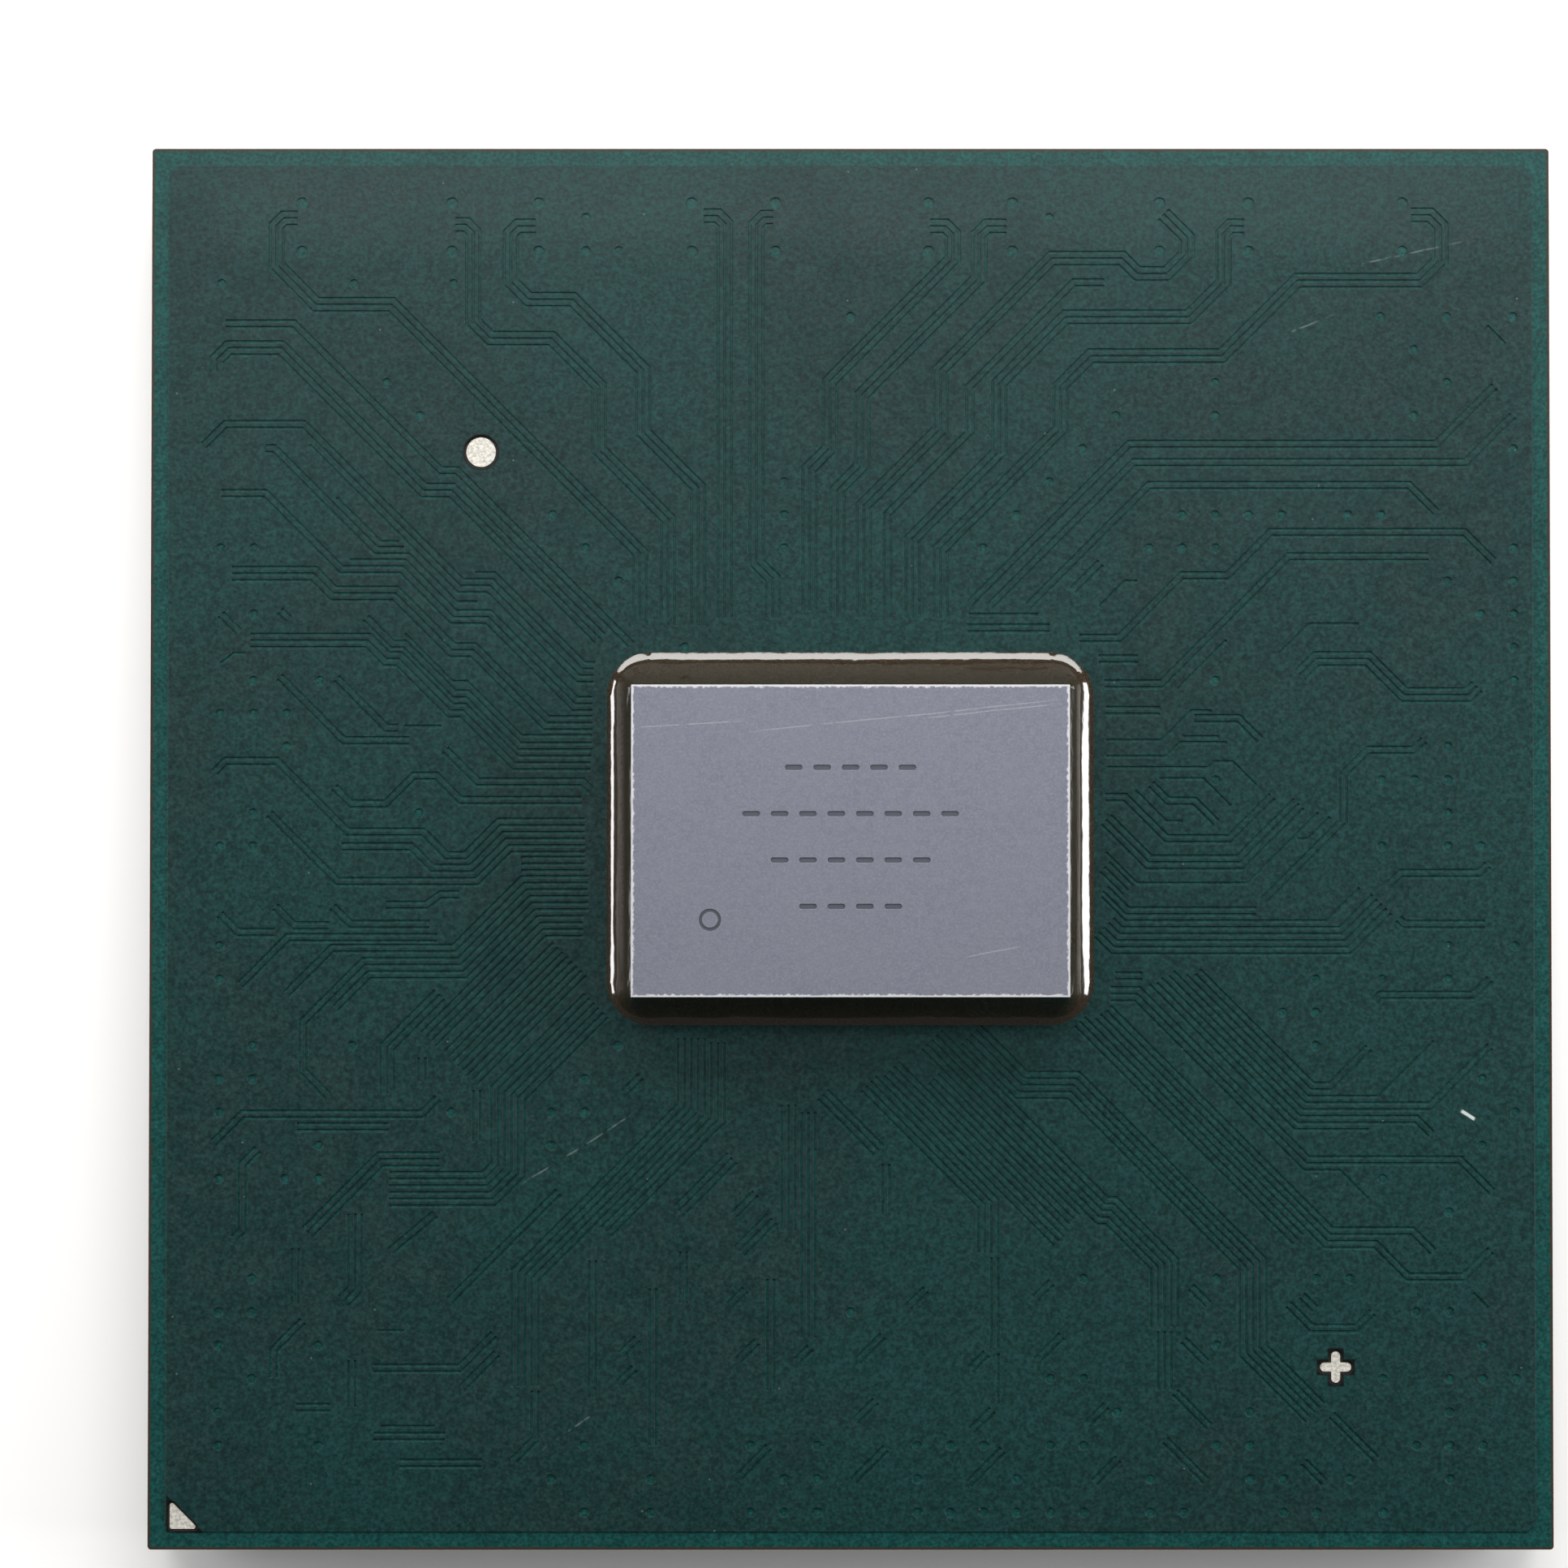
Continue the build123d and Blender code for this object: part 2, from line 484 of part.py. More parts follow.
def shifted(line, distance):
    """A line's points moved sideways, each to the meeting of its two moved runs."""
    sides = [(end - start).normalized().rotate(Axis.Z, 90) for start, end in zip(line, line[1:])]
    means = [(a + b) / 2 for a, b in zip(sides[:1] + sides, sides + sides[-1:])]
    return [point + mean * (distance / mean.length**2) for point, mean in zip(line, means)]


def gap_shape(line):
    """One clearance gap: its middle line widened to both sides."""
    left = shifted(line, gap_width / 2)
    right = shifted(line, -gap_width / 2)
    return Face(Wire.make_polygon(left + right[::-1], close=True))


def gap_shapes():
    for count, points in routes:
        line = [Vector(x, y) for x, y in points]
        for k in range(count):
            yield gap_shape(shifted(line, (k - (count - 1) / 2) * gap_pitch))


def via_shapes():
    for row, columns in via_rows.items():
        for column in columns:
            yield Pos(column * via_pitch, row * via_pitch) * Circle(via_diameter / 2)
    for y in end_via_rows:
        for x in end_via_columns:
            yield Pos(x, y) * Circle(end_via_diameter / 2)


def top_solder_mask():
    openings = [window_outline(), *mark_openings()]
    sunk = [*openings, *gap_shapes(), *via_shapes()]
    base = slab(body_outline() - openings, z_top_mask, mask_thickness)
    copper = plane_outline(top_border, top_corner_cut) - sunk
    return base + slab(copper, z_top_mask + mask_thickness, copper_relief)


def dot_place():
    return Pos(dot_from_west - body_side / 2, body_side / 2 - dot_from_north)


def cross_place():
    return Pos(body_side / 2 - cross_from_east, cross_from_south - body_side / 2)


def triangle_place():
    return Pos(triangle_from_west - body_side / 2, triangle_from_south - body_side / 2)


def dot_shape(grow=0.0):
    return dot_place() * Circle(dot_diameter / 2 + grow)


def cross_shape(grow=0.0):
    arm = SlotOverall(cross_span + 2 * grow, cross_arm + 2 * grow)
    return cross_place() * (arm + Rot(0, 0, 90) * arm)


def triangle_shape(grow=0.0):
    leg = triangle_leg
    low = -grow
    high = leg + grow * (1 + math.sqrt(2))
    corner = make_face(Polyline((low, low), (high, low), (low, high), close=True))
    return triangle_place() * fillet(corner.vertices(), triangle_corner_radius + grow)


def mark_openings():
    return [shape(mark_clearance) for shape in (dot_shape, cross_shape, triangle_shape)]


def mark(shape):
    return slab(shape(), z_top_mask, mark_thickness)


def layer(low, thickness):
    return slab(body_outline(), low, thickness)


nodes = {
    "core_laminate": layer(z_core, core_thickness),
    "top_buildup": layer(z_top_buildup, buildup_thickness),
    "bottom_buildup": layer(z_bottom_buildup, buildup_thickness),
    "top_solder_mask": top_solder_mask(),
    "bottom_solder_mask": bottom_solder_mask(),
    "silicon_die": silicon_die(),
    "copper_pillars": copper_pillars(),
    "underfill": underfill(),
    "ball_lands": ball_lands(),
    "fiducial_dot": mark(dot_shape),
    "fiducial_cross": mark(cross_shape),
    "pin1_triangle": mark(triangle_shape),
}
for index in range(ball_rows):
    nodes["balls_row_" + row_name(index)] = row_of_balls(index)

os.makedirs("parts", exist_ok=True)
for name, shape in nodes.items():
    shape.label = name
    export_step(shape, "parts/" + name + ".step")
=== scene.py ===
import math
from collections import namedtuple

import bpy
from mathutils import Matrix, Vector


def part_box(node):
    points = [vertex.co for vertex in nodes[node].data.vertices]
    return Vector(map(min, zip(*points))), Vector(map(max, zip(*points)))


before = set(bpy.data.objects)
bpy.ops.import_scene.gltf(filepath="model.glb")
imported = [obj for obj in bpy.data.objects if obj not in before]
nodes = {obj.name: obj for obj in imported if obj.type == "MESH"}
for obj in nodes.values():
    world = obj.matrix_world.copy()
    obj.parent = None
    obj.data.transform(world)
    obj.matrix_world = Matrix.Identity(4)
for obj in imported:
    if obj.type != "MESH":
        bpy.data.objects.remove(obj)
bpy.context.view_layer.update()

MM = 0.001

# The photograph's frame in pixels, with the corners of the chip in it
PHOTO_SIDE = 1932
CHIP_LEFT_PX = 184.5
CHIP_RIGHT_PX = 1911.5
CHIP_TOP_PX = 182.5
CHIP_BOTTOM_PX = 1903.8

# Sizes and heights that the materials need, in millimetres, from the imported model
die_low, die_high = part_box("silicon_die")
core_low, core_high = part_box("core_laminate")
BODY_SIDE = (core_high.x - core_low.x) / MM
PLANE_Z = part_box("top_solder_mask")[1].z / MM
HATCH_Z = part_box("bottom_solder_mask")[0].z / MM

# The mask sinks this far into the gaps, in millimetres, and one arm of the cross is this wide
RELIEF = 0.015
CROSS_ARM = 0.12

# Scratches, as their two ends from the body's centre in millimetres
MASK_SCRATCHES = [((6.4, 7.8), (8.4, 8.25)), ((5.9, 6.95), (6.6, 7.25)), ((-4.5, -4.6), (-2.9, -3.6)),
                  ((-4.3, -8.25), (-3.45, -7.65))]
MASK_NICK = ((8.25, -3.58), (8.46, -3.7))
DIE_SCRATCHES = [((-2.9, 1.57), (-1.35, 1.67)), ((-1.5, 1.5), (2.93, 1.96)), ((0.9, 1.7), (2.9, 1.9)),
                 ((1.5, -1.5), (2.3, -1.35))]
MASK_SCRATCH_WIDTH = 0.022
DIE_SCRATCH_WIDTH = 0.016
NICK_WIDTH = 0.045

# Diamond holes of the copper hatch on the ball side: their pitch, and their waves' turn per millimetre
HATCH_PITCH = 0.13
HATCH_TURN = math.pi / HATCH_PITCH

# Rounding of the edges, in millimetres: of the mesh by a modifier, and of the normals by the shader
MESH_ROUNDING = {"top_solder_mask": 0.008, "silicon_die": 0.006}
MASK_SHADE_ROUNDING = 0.02
DIE_SHADE_ROUNDING = 0.012
WELD_DISTANCE = 0.0005

# Depths of the relief that the shader adds, in millimetres
MASK_ROLL_OFF = 0.06
MASK_WAVES = 0.03
MASK_PEEL = 0.0034
MASK_GRAIN = 0.0008
HATCH_DEPTH = 0.012
DIE_GRAIN = 0.001
DIE_PITS = 0.0005
RESIN_WAVES = 0.012
RESIN_RIPPLES = 0.0008
RESIN_GRAIN = 0.0002
CLOTH_DEPTH = 0.01
FILM_GRAIN = 0.002
BALL_DENTS = 0.03
BALL_SCUFFS = 0.004
COPPER_GRAIN = 0.002
PLATING_GRAIN = 0.004

# Most values of a noise lie between these
NOISE_LOW = 0.3
NOISE_HIGH = 0.7

# The studio, in metres and watts
FLOOR_REACH = 2.0
WORLD_STRENGTH = 0.12
LIGHTS = [
    # name, place, width and height, power, colour
    ("north_softbox", (0, 0.0608, 0.0365), (0.14, 0.027), 0.082, (1.0, 0.98, 0.95)),
    ("north_upper", (0, 0.032, 0.058), (0.08, 0.012), 0.024, (1.0, 1.0, 1.0)),
    ("west_softbox", (-0.058, 0.004, 0.0205), (0.045, 0.014), 0.022, (1.0, 1.0, 1.0)),
    ("east_softbox", (0.058, 0.004, 0.0205), (0.045, 0.02), 0.036, (1.0, 1.0, 1.0)),
]

# The camera
LENS = 100.0
SENSOR = 36.0
TILT = math.radians(1.3)

Mask = namedtuple("Mask", "nodes place colour peel copper normal")


def rgb(red, green, blue):
    """A colour from its linear red, green and blue."""
    return (red, green, blue, 1.0)


# Colours of the solder mask over copper and over gaps, its sawn edge, wear and shade
MASK_BLUER = rgb(0.0036, 0.0228, 0.0224)
MASK_BROWNER = rgb(0.0066, 0.0248, 0.0238)
MASK_GREENER = rgb(0.004, 0.0278, 0.0266)
GAP_DARK = rgb(0.002, 0.037, 0.0342)
GAP_LIGHT = rgb(0.003, 0.0445, 0.0405)
SAWN_RESIN = rgb(0.03, 0.018, 0.01)
WORN_MASK = rgb(0.13, 0.17, 0.16)
CHIPPED_MASK = rgb(0.42, 0.46, 0.45)
OPENING_SHADE = rgb(0.0006, 0.0012, 0.0012)
HATCH_HOLE = rgb(0.004, 0.022, 0.02)

# Colours of the die, from its sawn sides to its chipped rim, which also carries a painted highlight
SAWN_SILICON = rgb(0.02, 0.02, 0.024)
ENGRAVING = rgb(0.088, 0.092, 0.116)
SILICON_DARK = rgb(0.17, 0.18, 0.226)
SILICON_MIDDLE = rgb(0.184, 0.194, 0.24)
SILICON_LIGHT = rgb(0.196, 0.206, 0.254)
SILICON_GRAIN = rgb(0.23, 0.24, 0.29)
SCRATCHED_SILICON = rgb(0.5, 0.5, 0.53)
CHIPPED_RIM_AND_HIGHLIGHT = rgb(0.62, 0.62, 0.65)

# Colours of resins, metals and paper
UNDERFILL = rgb(0.016, 0.0105, 0.005)
UNDERFILL_FILLER = rgb(0.042, 0.027, 0.0145)
LAMINATE_RESIN = rgb(0.075, 0.046, 0.021)
LAMINATE_CLOTH = rgb(0.125, 0.082, 0.04)
FILM_DARK = rgb(0.008, 0.007, 0.005)
FILM_LIGHT = rgb(0.025, 0.018, 0.01)
SOLDER = rgb(0.72, 0.71, 0.68)
SOLDER_STAIN = rgb(0.2, 0.19, 0.18)
COPPER_DARK = rgb(0.6, 0.27, 0.14)
COPPER_LIGHT = rgb(0.75, 0.4, 0.24)
PLATING_DARK = rgb(0.45, 0.43, 0.38)
PLATING_LIGHT = rgb(0.7, 0.68, 0.62)
FLOOR_PAPER = rgb(0.9, 0.9, 0.9)
WORLD_WHITE = rgb(1.0, 1.0, 1.0)


class Nodes:
    """A material's node tree, with a short way to add and join its nodes."""

    def __init__(self, name):
        self.material = bpy.data.materials.new(name)
        self.material.use_nodes = True
        self.tree = self.material.node_tree
        self.shader = self.tree.nodes["Principled BSDF"]
        self.noises = {}

    def add(self, kind, settings=None, **inputs):
        node = self.tree.nodes.new(kind)
        for key, value in (settings or {}).items():
            setattr(node, key, value)
        for key, value in inputs.items():
            self.put(node, key.replace("_", " "), value)
        return node

    def put(self, node, key, value):
        socket = node.inputs[int(key)] if str(key).isdigit() else node.inputs[key]
        if isinstance(value, bpy.types.NodeSocket):
            self.tree.links.new(value, socket)
        else:
            socket.default_value = value

    def math(self, operation, a, b=0.0):
        node = self.add("ShaderNodeMath", {"operation": operation})
        self.put(node, 0, a)
        self.put(node, 1, b)
        return node.outputs[0]

    def vector(self, operation, a, b=None):
        node = self.add("ShaderNodeVectorMath", {"operation": operation})
        self.put(node, 0, a)
        if b is not None:
            self.put(node, 1, b)
        return node.outputs["Value" if operation == "DOT_PRODUCT" else "Vector"]

    def scaled(self, vector, factor):
        node = self.add("ShaderNodeVectorMath", {"operation": "SCALE"})
        self.put(node, 0, vector)
        self.put(node, "Scale", factor)
        return node.outputs[0]

    def split(self, vector):
        """The X, Y and Z of a vector."""
        node = self.add("ShaderNodeSeparateXYZ")
        self.put(node, 0, vector)
        return node.outputs["X"], node.outputs["Y"], node.outputs["Z"]

    def place(self):
        """The point on the object, in millimetres."""
        return self.scaled(self.add("ShaderNodeTexCoord").outputs["Object"], 1 / MM)

    def noise(self, place, scale, detail=2.0, roughness=0.5):
        """Noise over the place, from one node for all that ask for the same noise."""
        key = (scale, detail, roughness)
        if key not in self.noises:
            node = self.add("ShaderNodeTexNoise", Scale=scale, Detail=detail, Roughness=roughness)
            self.put(node, "Vector", place)
            self.noises[key] = node.outputs["Fac"]
        return self.noises[key]

    def specks(self, place, scale, radius, share):
        """Small round specks: a share of the cells of a loose grid holds one each."""
        node = self.add("ShaderNodeTexVoronoi", {"voronoi_dimensions": "2D"}, Scale=scale)
        self.put(node, "Vector", place)
        round_spot = self.ramp(node.outputs["Distance"], radius * scale, 0.4 * radius * scale)
        split = self.add("ShaderNodeSeparateColor")
        self.put(split, 0, node.outputs["Color"])
        return self.math("MULTIPLY", round_spot, self.math("GREATER_THAN", split.outputs[0], 1 - share))

    def scratch(self, place, start, end, width, gaps=0.6):
        """A straight scratch between two points of the top, broken up more where gaps is higher."""
        start, end = Vector((*start, 0)), Vector((*end, 0))
        along = (end - start).normalized()
        across = Vector((-along.y, along.x, 0))
        reach = []
        for direction in (along, across):
            way = self.vector("DOT_PRODUCT", place, direction)
            reach.append(self.math("SUBTRACT", way, start.dot(direction)))
        waver = self.noise(place, 1.5, 2.0)
        off = self.math("ADD", reach[1], self.math("MULTIPLY", self.math("SUBTRACT", waver, 0.5), 2 * width))
        line = self.ramp(self.math("ABSOLUTE", off), 0.3 * width, 0.7 * width, 1.0, 0.0)
        length = (end - start).length
        ends = self.ramp(reach[0], 0.0, 0.15 * length)
        tail = self.ramp(reach[0], 0.85 * length, length, 1.0, 0.0)
        broken = self.ramp(self.noise(place, 6.0, 3.0), gaps - 0.22, gaps)
        faded = self.math("MULTIPLY", self.math("MULTIPLY", ends, tail), broken)
        return self.math("MULTIPLY", line, faded)

    def fold(self, operation, values):
        """One value from many, such as their MAXIMUM or MINIMUM."""
        total = values[0]
        for value in values[1:]:
            total = self.math(operation, total, value)
        return total

    def ramp(self, value, low, high, out_low=0.0, out_high=1.0):
        node = self.add("ShaderNodeMapRange", {"interpolation_type": "SMOOTHSTEP"})
        self.put(node, "Value", value)
        for key, number in (("From Min", low), ("From Max", high), ("To Min", out_low), ("To Max", out_high)):
            node.inputs[key].default_value = number
        return node.outputs[0]

    def spread(self, noise, out_low=0.0, out_high=1.0):
        """A noise stretched from one value to another."""
        return self.ramp(noise, NOISE_LOW, NOISE_HIGH, out_low, out_high)

    def blend(self, share, first, second):
        node = self.add("ShaderNodeMix", {"data_type": "RGBA"})
        for index, value in ((0, share), (6, first), (7, second)):
            self.put(node, index, value)
        return node.outputs[2]

    def bump(self, height, distance, strength=1.0, normal=None):
        node = self.add("ShaderNodeBump", Strength=strength, Distance=distance)
        self.put(node, "Height", height)
        if normal is not None:
            self.put(node, "Normal", normal)
        return node.outputs["Normal"]

    def rounded(self, radius):
        """Normals that are rounded near sharp edges, by this radius in millimetres."""
        node = self.add("ShaderNodeBevel", {"samples": 2}, Radius=radius * MM)
        return node.outputs["Normal"]

    def finish(self, **inputs):
        for key, value in inputs.items():
            self.put(self.shader, key.replace("_", " "), value)
        return self.material


def solder_mask(name, plane_z, facing):
    """Teal mask: greyer over the copper, greener in the gaps beside it, which it sinks into."""
    m = Nodes(name)
    place = m.place()
    x, y, z = m.split(place)
    height = m.math("MULTIPLY", m.math("SUBTRACT", z, plane_z), facing)
    copper = m.ramp(height, -0.85 * RELIEF, -0.15 * RELIEF)
    cloud = m.noise(place, 0.35, 3.0)
    mottle = m.noise(place, 1.5, 4.0, 0.55)
    peel = m.noise(place, 12.0, 3.0, 0.65)
    fine = m.noise(place, 22.0, 2.0)
    cool = m.blend(m.ramp(mottle, 0.35, 0.65), MASK_BLUER, MASK_BROWNER)
    plane = m.blend(m.ramp(cloud, 0.4, 0.62), cool, MASK_GREENER)
    gap = m.blend(m.spread(mottle), GAP_DARK, GAP_LIGHT)
    colour = m.blend(copper, gap, plane)
    # painted shade: the colour goes lighter and darker with the same peel and fine noise that bump the
    # surface, as the shading of that grain
    painted_peel_shade = m.math("MULTIPLY", m.spread(peel, 0.84, 1.16), m.spread(fine, 0.66, 1.34))
    away = [m.math("SUBTRACT", BODY_SIDE / 2, m.math("ABSOLUTE", way)) for way in (x, y)]
    fall = m.math("MULTIPLY", m.ramp(away[0], -0.4, 1.6), m.ramp(away[1], -0.4, 1.6))
    frayed = m.math("SUBTRACT", m.fold("MINIMUM", away), m.spread(peel, 0.0, 0.02))
    sawn = m.blend(m.ramp(frayed, 0.01, 0.035), SAWN_RESIN, m.scaled(colour, painted_peel_shade))
    rolled = m.bump(fall, MASK_ROLL_OFF * MM, 1.0, m.rounded(MASK_SHADE_ROUNDING))
    soft = m.bump(cloud, MASK_WAVES * MM, 0.6, rolled)
    grain = m.bump(peel, MASK_PEEL * MM, 1.0, soft)
    normal = m.bump(fine, MASK_GRAIN * MM, 1.0, grain)
    return Mask(m, place, sawn, peel, copper, normal)


def mark_ring(m, place):
    """One close round the three bare marks, where the mask lies in the shade of its opening."""
    outside = []
    for name in ("fiducial_dot", "fiducial_cross", "pin1_triangle"):
        low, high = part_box(name)
        centre = (low + high) / 2 / MM
        half = (high.x - low.x) / 2 / MM
        x, y, _ = m.split(m.vector("SUBTRACT", place, Vector((centre.x, centre.y, 0))))
        if name == "pin1_triangle":
            slant = m.math("MULTIPLY", m.math("ADD", x, y), math.sqrt(0.5))
            legs = m.math("SUBTRACT", m.math("MULTIPLY", m.math("MINIMUM", x, y), -1.0), half)
            outside.append(m.math("MAXIMUM", slant, legs))
            continue
        x, y = m.math("ABSOLUTE", x), m.math("ABSOLUTE", y)
        if name == "fiducial_cross":
            beside = m.math("SUBTRACT", m.math("MINIMUM", x, y), CROSS_ARM / 2)
            beyond = m.math("SUBTRACT", m.math("MAXIMUM", x, y), half)
            outside.append(m.math("MAXIMUM", beside, beyond))
        else:
            square = m.math("ADD", m.math("POWER", x, 2.0), m.math("POWER", y, 2.0))
            outside.append(m.math("SUBTRACT", m.math("SQRT", square), half))
    return m.ramp(m.fold("MINIMUM", outside), 0.035, 0.06, 1.0, 0.0)


def top_mask():
    mask = solder_mask("solder_mask_top", PLANE_Z, 1.0)
    m, place = mask.nodes, mask.place
    lines = m.fold("MAXIMUM", [m.scratch(place, *ends, MASK_SCRATCH_WIDTH) for ends in MASK_SCRATCHES])
    dust = m.specks(place, 1.1, 0.018, 0.1)
    marks = m.math("MULTIPLY", m.math("MAXIMUM", lines, dust), 0.45)
    worn = m.blend(marks, mask.colour, WORN_MASK)
    shaded = m.blend(mark_ring(m, place), worn, OPENING_SHADE)
    chipped = m.blend(m.scratch(place, *MASK_NICK, NICK_WIDTH, 0.2), shaded, CHIPPED_MASK)
    rough = m.spread(mask.peel, 0.38, 0.48)
    m.shader.inputs["Specular IOR Level"].default_value = 0.25
    return m.finish(Base_Color=chipped, Roughness=rough, Normal=mask.normal)


def bottom_mask():
    """The ball side: the same mask over a copper plane that is hatched with small diamond holes."""
    mask = solder_mask("solder_mask_bottom", HATCH_Z, -1.0)
    m = mask.nodes
    turned = m.add("ShaderNodeVectorRotate", {"rotation_type": "Z_AXIS"}, Angle=math.radians(45))
    m.put(turned, "Vector", mask.place)
    x, y, _ = m.split(turned.outputs[0])
    waves = [m.math("SINE", m.math("MULTIPLY", way, HATCH_TURN)) for way in (x, y)]
    hatch = m.math("MULTIPLY", m.math("MULTIPLY", waves[0], waves[1]), mask.copper)
    holes = m.ramp(hatch, 0.25, 0.6)
    dark = m.blend(holes, mask.colour, HATCH_HOLE)
    sunk = m.bump(m.math("SUBTRACT", 1.0, holes), HATCH_DEPTH * MM, 0.8, mask.normal)
    rough = m.spread(mask.peel, 0.34, 0.46)
    m.shader.inputs["Specular IOR Level"].default_value = 0.4
    return m.finish(Base_Color=dark, Roughness=rough, Normal=sunk)


def silicon():
    """The ground back of the die, with a chipped rim painted bright as a highlight, and darker engraving."""
    m = Nodes("silicon")
    place = m.place()
    x, y, z = m.split(place)
    fine = m.noise(place, 30.0, 3.0, 0.65)
    coarse = m.noise(place, 9.0, 3.0, 0.6)
    chips = m.noise(place, 18.0, 2.0)
    cloud = m.noise(place, 0.9, 3.0)
    centre = (die_low + die_high) / 2 / MM
    half = (die_high - die_low) / 2 / MM
    top = die_high.z / MM
    edges = []
    for way, middle, reach in ((x, centre.x, half.x), (y, centre.y, half.y)):
        away = m.math("ABSOLUTE", m.math("SUBTRACT", way, middle))
        edges.append(m.math("SUBTRACT", reach, away))
    ragged = m.math("ADD", m.fold("MINIMUM", edges), m.ramp(chips, 0.35, 0.75, 0.0, -0.025))
    rim = m.ramp(ragged, 0.008, 0.034, 1.0, 0.0)
    upper = m.ramp(z, top - 0.06, top - 0.03)
    flat = m.ramp(z, top - 0.008, top - 0.003)
    base = m.blend(m.spread(cloud), SILICON_DARK, SILICON_MIDDLE)
    ground = m.blend(m.ramp(coarse, 0.35, 0.7), base, SILICON_LIGHT)
    grained = m.blend(m.ramp(fine, 0.4, 0.75), ground, SILICON_GRAIN)
    lines = m.fold("MAXIMUM", [m.scratch(place, *ends, DIE_SCRATCH_WIDTH, 0.5) for ends in DIE_SCRATCHES])
    scored = m.blend(m.math("MULTIPLY", lines, 0.3), grained, SCRATCHED_SILICON)
    marked = m.blend(flat, ENGRAVING, scored)
    sawn = m.blend(upper, SAWN_SILICON, marked)
    # painted highlight: a bright band round the top edge of the die, partly its chipping and partly the light
    # its edge catches
    colour = m.blend(m.math("MULTIPLY", rim, upper), sawn, CHIPPED_RIM_AND_HIGHLIGHT)
    grain = m.bump(coarse, DIE_GRAIN * MM, 1.0, m.rounded(DIE_SHADE_ROUNDING))
    pits = m.bump(fine, DIE_PITS * MM, 1.0, grain)
    return m.finish(Base_Color=colour, Metallic=0.5, Roughness=0.45, Normal=pits)


def flowed_out(m, place):
    """Normals of the resin, a little flatter at its foot to the east and west, where it has flowed out."""
    normal = m.add("ShaderNodeNewGeometry").outputs["Normal"]
    east, _, _ = m.split(normal)
    sideways = m.math("MULTIPLY", m.math("ABSOLUTE", east), 0.45)
    uneven = m.math("ADD", sideways, m.math("MULTIPLY", east, 0.12))
    _, _, height = m.split(place)
    foot = m.ramp(height, PLANE_Z + 0.15, PLANE_Z + 0.45, 1.0, 0.0)
    lift = m.add("ShaderNodeCombineXYZ")
    m.put(lift, "Z", m.math("MULTIPLY", uneven, foot))
    return m.vector("NORMALIZE", m.vector("ADD", normal, lift.outputs[0]))


def resin():
    """Dark brown glossy underfill, wavy from its flow, with fine filler grains."""
    m = Nodes("underfill_resin")
    place = m.place()
    speck = m.noise(place, 45.0, 2.0)
    wave = m.noise(place, 1.6, 3.0)
    ripple = m.noise(place, 7.0, 2.0)
    colour = m.blend(m.ramp(speck, 0.45, 0.7), UNDERFILL, UNDERFILL_FILLER)
    soft = m.bump(wave, RESIN_WAVES * MM, 1.0, flowed_out(m, place))
    edge = m.bump(ripple, RESIN_RIPPLES * MM, 1.0, soft)
    grain = m.bump(speck, RESIN_GRAIN * MM, 1.0, edge)
    m.shader.inputs["Specular IOR Level"].default_value = 1.0
    return m.finish(Base_Color=colour, Roughness=0.1, Normal=grain)


def laminate():
    m = Nodes("laminate")
    place = m.place()
    wave = m.add("ShaderNodeTexWave", {"bands_direction": "Z"}, Scale=3.2, Distortion=1.4, Detail=3.0)
    m.put(wave, "Vector", place)
    grain = m.noise(place, 18.0, 4.0, 0.65)
    cloth = m.math("ADD", m.math("MULTIPLY", wave.outputs["Fac"], 0.6), m.math("MULTIPLY", grain, 0.4))
    colour = m.blend(m.spread(cloth), LAMINATE_RESIN, LAMINATE_CLOTH)
    return m.finish(Base_Color=colour, Roughness=0.7, Normal=m.bump(cloth, CLOTH_DEPTH * MM, 0.7))


def film():
    m = Nodes("buildup_film")
    place = m.place()
    grain = m.noise(place, 25.0, 3.0)
    colour = m.blend(m.spread(grain), FILM_DARK, FILM_LIGHT)
    return m.finish(Base_Color=colour, Roughness=0.6, Normal=m.bump(grain, FILM_GRAIN * MM, 0.5))


def solder():
    m = Nodes("solder")
    place = m.place()
    dent = m.noise(place, 7.0, 3.0, 0.6)
    scuff = m.noise(place, 30.0, 2.0)
    dark = m.ramp(dent, 0.6, 0.75)
    colour = m.blend(dark, SOLDER, SOLDER_STAIN)
    rough = m.spread(scuff, 0.22, 0.42)
    bumps = m.bump(dent, BALL_DENTS * MM, 0.6)
    grain = m.bump(scuff, BALL_SCUFFS * MM, 0.5, bumps)
    return m.finish(Base_Color=colour, Metallic=1.0, Roughness=rough, Normal=grain)


def copper():
    m = Nodes("copper")
    place = m.place()
    grain = m.noise(place, 30.0, 2.0)
    colour = m.blend(grain, COPPER_DARK, COPPER_LIGHT)
    normal = m.bump(grain, COPPER_GRAIN * MM, 0.4)
    return m.finish(Base_Color=colour, Metallic=1.0, Roughness=0.4, Normal=normal)


def plated():
    m = Nodes("plated_pad")
    place = m.place()
    grain = m.noise(place, 24.0, 3.0, 0.6)
    colour = m.blend(m.spread(grain), PLATING_DARK, PLATING_LIGHT)
    rough = m.spread(grain, 0.32, 0.5)
    normal = m.bump(grain, PLATING_GRAIN * MM, 0.6)
    return m.finish(Base_Color=colour, Metallic=0.35, Roughness=rough, Normal=normal)


def wear(node, material):
    mesh = nodes[node].data
    mesh.materials.clear()
    mesh.materials.append(material)


def dress_nodes():
    looks = {
        "core_laminate": laminate(),
        "top_solder_mask": top_mask(),
        "bottom_solder_mask": bottom_mask(),
        "silicon_die": silicon(),
        "underfill": resin(),
    }
    thin_film, ball, metal, pad = film(), solder(), copper(), plated()
    for name in nodes:
        if name.endswith("buildup"):
            looks[name] = thin_film
        elif name.startswith("balls_row"):
            looks[name] = ball
        elif name in ("copper_pillars", "ball_lands"):
            looks[name] = metal
        elif name.startswith("fiducial") or name.startswith("pin1"):
            looks[name] = pad
        wear(name, looks[name])


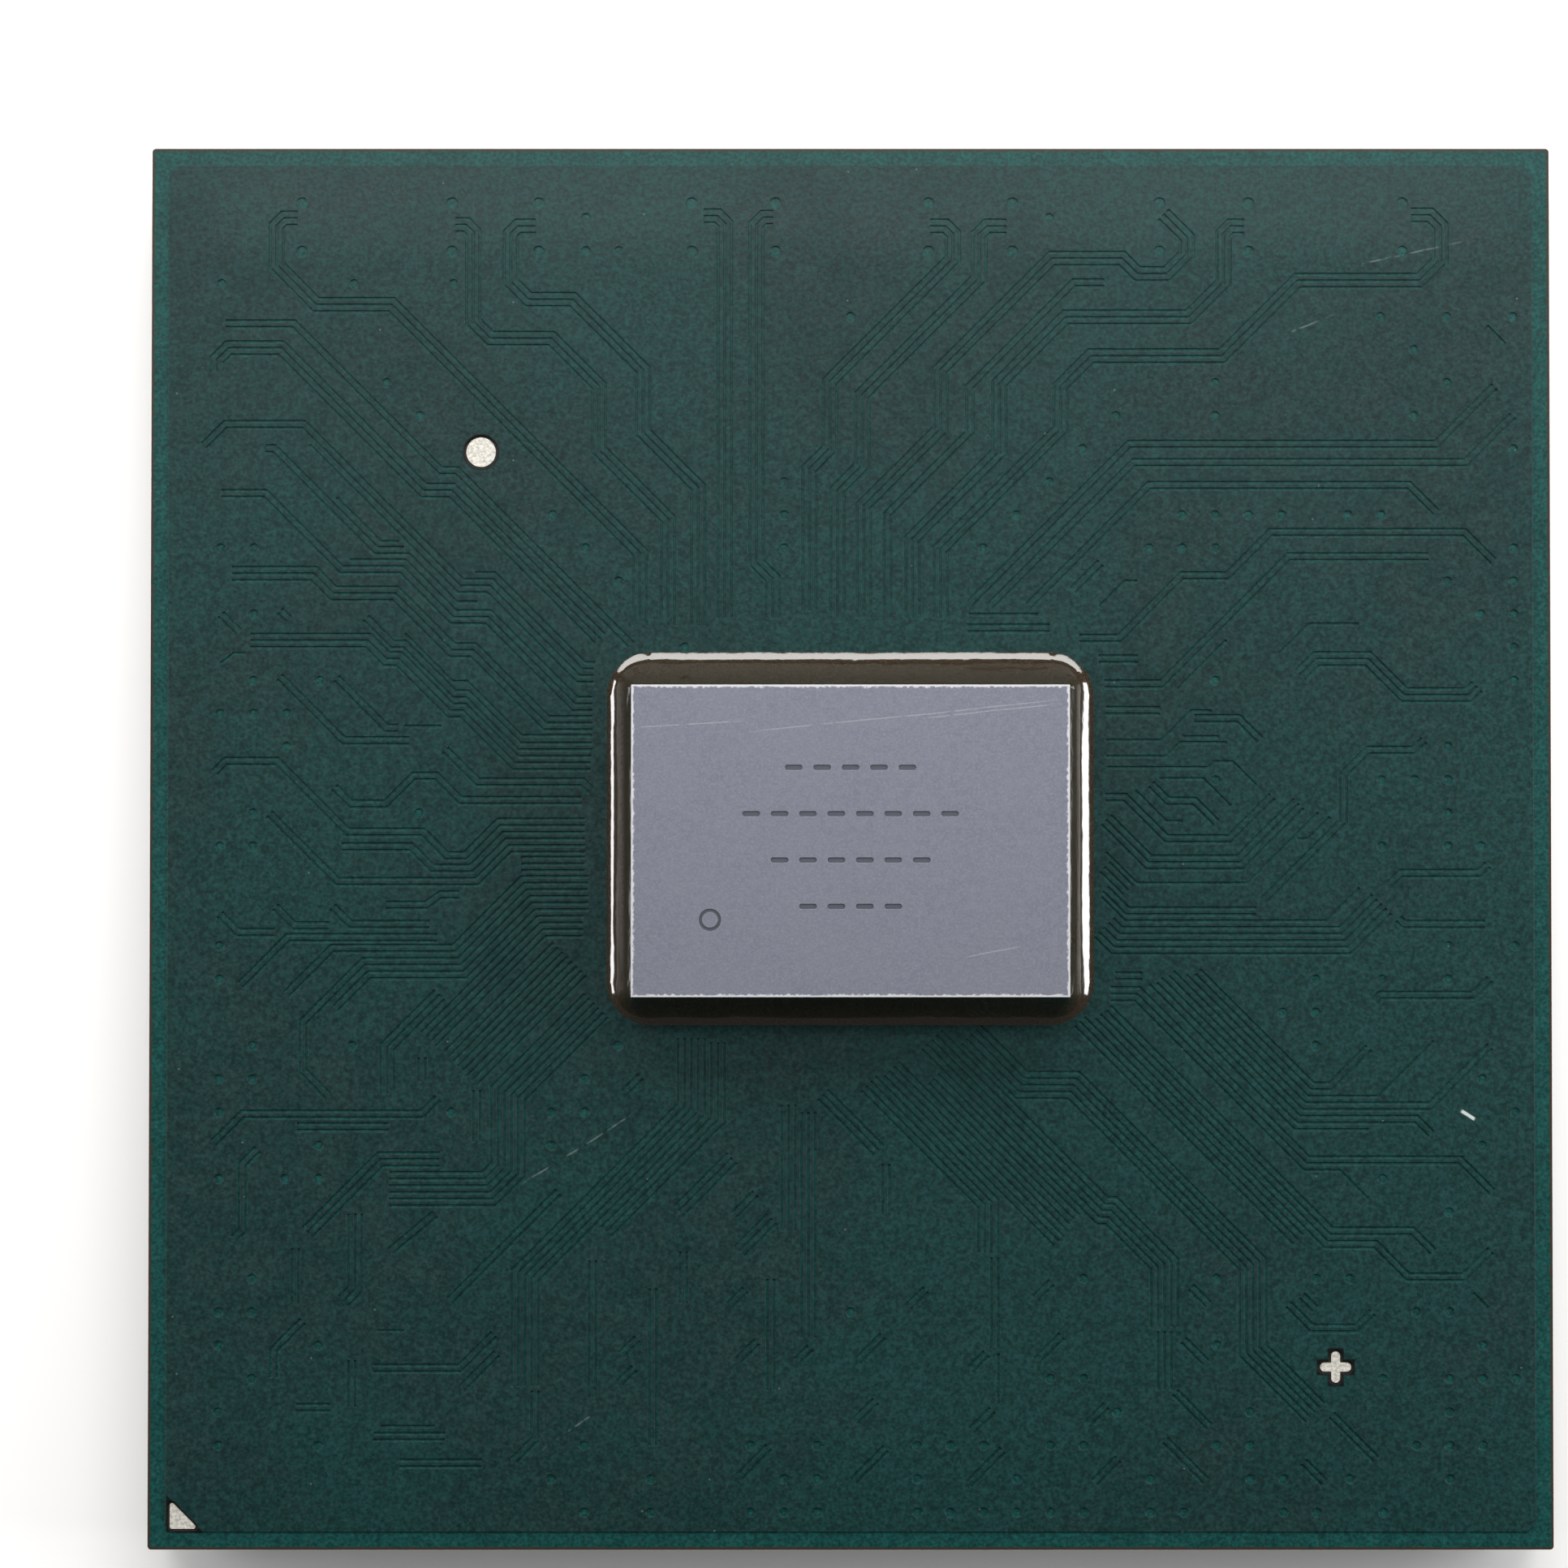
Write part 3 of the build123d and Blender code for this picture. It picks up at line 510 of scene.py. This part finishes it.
def soften_edges(name, width):
    """Rounds the sharp edges of a CAD node by a modifier, as etching and coating leave them."""
    obj = nodes[name]
    weld = obj.modifiers.new("weld", "WELD")
    weld.merge_threshold = WELD_DISTANCE * MM
    bevel = obj.modifiers.new("bevel", "BEVEL")
    bevel.width = width * MM
    bevel.segments = 2
    bevel.limit_method = "ANGLE"
    bevel.angle_limit = math.radians(40)
    bevel.use_clamp_overlap = True


def area_light(name, place, size, watts, colour):
    """A soft light that is aimed at the middle of the mask."""
    light = bpy.data.lights.new(name, "AREA")
    light.shape = "RECTANGLE"
    light.size, light.size_y = size
    light.energy = watts
    light.color = colour
    obj = bpy.data.objects.new(name, light)
    obj.location = place
    obj.rotation_mode = "QUATERNION"
    obj.rotation_quaternion = (Vector((0, 0, PLANE_Z * MM)) - Vector(place)).to_track_quat("-Z", "Y")
    bpy.context.scene.collection.objects.link(obj)


def studio():
    floor = bpy.data.meshes.new("floor")
    corners = [(x * FLOOR_REACH, y * FLOOR_REACH, 0) for x, y in ((-1, -1), (1, -1), (1, 1), (-1, 1))]
    floor.from_pydata(corners, [], [(0, 1, 2, 3)])
    obj = bpy.data.objects.new("floor", floor)
    bpy.context.scene.collection.objects.link(obj)
    pale = Nodes("floor_paper")
    obj.data.materials.append(pale.finish(Base_Color=FLOOR_PAPER, Roughness=0.9))
    world = bpy.data.worlds.new("studio")
    world.use_nodes = True
    background = world.node_tree.nodes["Background"]
    background.inputs["Color"].default_value = WORLD_WHITE
    background.inputs["Strength"].default_value = WORLD_STRENGTH
    bpy.context.scene.world = world
    bpy.context.scene.view_settings.view_transform = "Standard"
    for light in LIGHTS:
        area_light(*light)


def make_camera():
    """A long lens over the die side, a little towards the pin 1 side, framed as the photograph."""
    camera = bpy.data.cameras.new("camera")
    camera.lens = LENS
    camera.sensor_width = SENSOR
    width_px = CHIP_RIGHT_PX - CHIP_LEFT_PX
    distance = BODY_SIDE * MM * PHOTO_SIDE / width_px * LENS / SENSOR
    target = Vector((0, 0, PLANE_Z * MM))
    obj = bpy.data.objects.new("camera", camera)
    obj.location = target + distance * Vector((0, -math.sin(TILT), math.cos(TILT)))
    obj.rotation_euler = (TILT, 0, 0)
    camera.shift_x = (PHOTO_SIDE / 2 - (CHIP_LEFT_PX + CHIP_RIGHT_PX) / 2) / PHOTO_SIDE
    camera.shift_y = ((CHIP_TOP_PX + CHIP_BOTTOM_PX) / 2 - PHOTO_SIDE / 2) / PHOTO_SIDE
    camera.clip_start = 0.001
    bpy.context.scene.collection.objects.link(obj)
    bpy.context.scene.camera = obj


dress_nodes()
for node_name, rounding in MESH_ROUNDING.items():
    soften_edges(node_name, rounding)
studio()
make_camera()
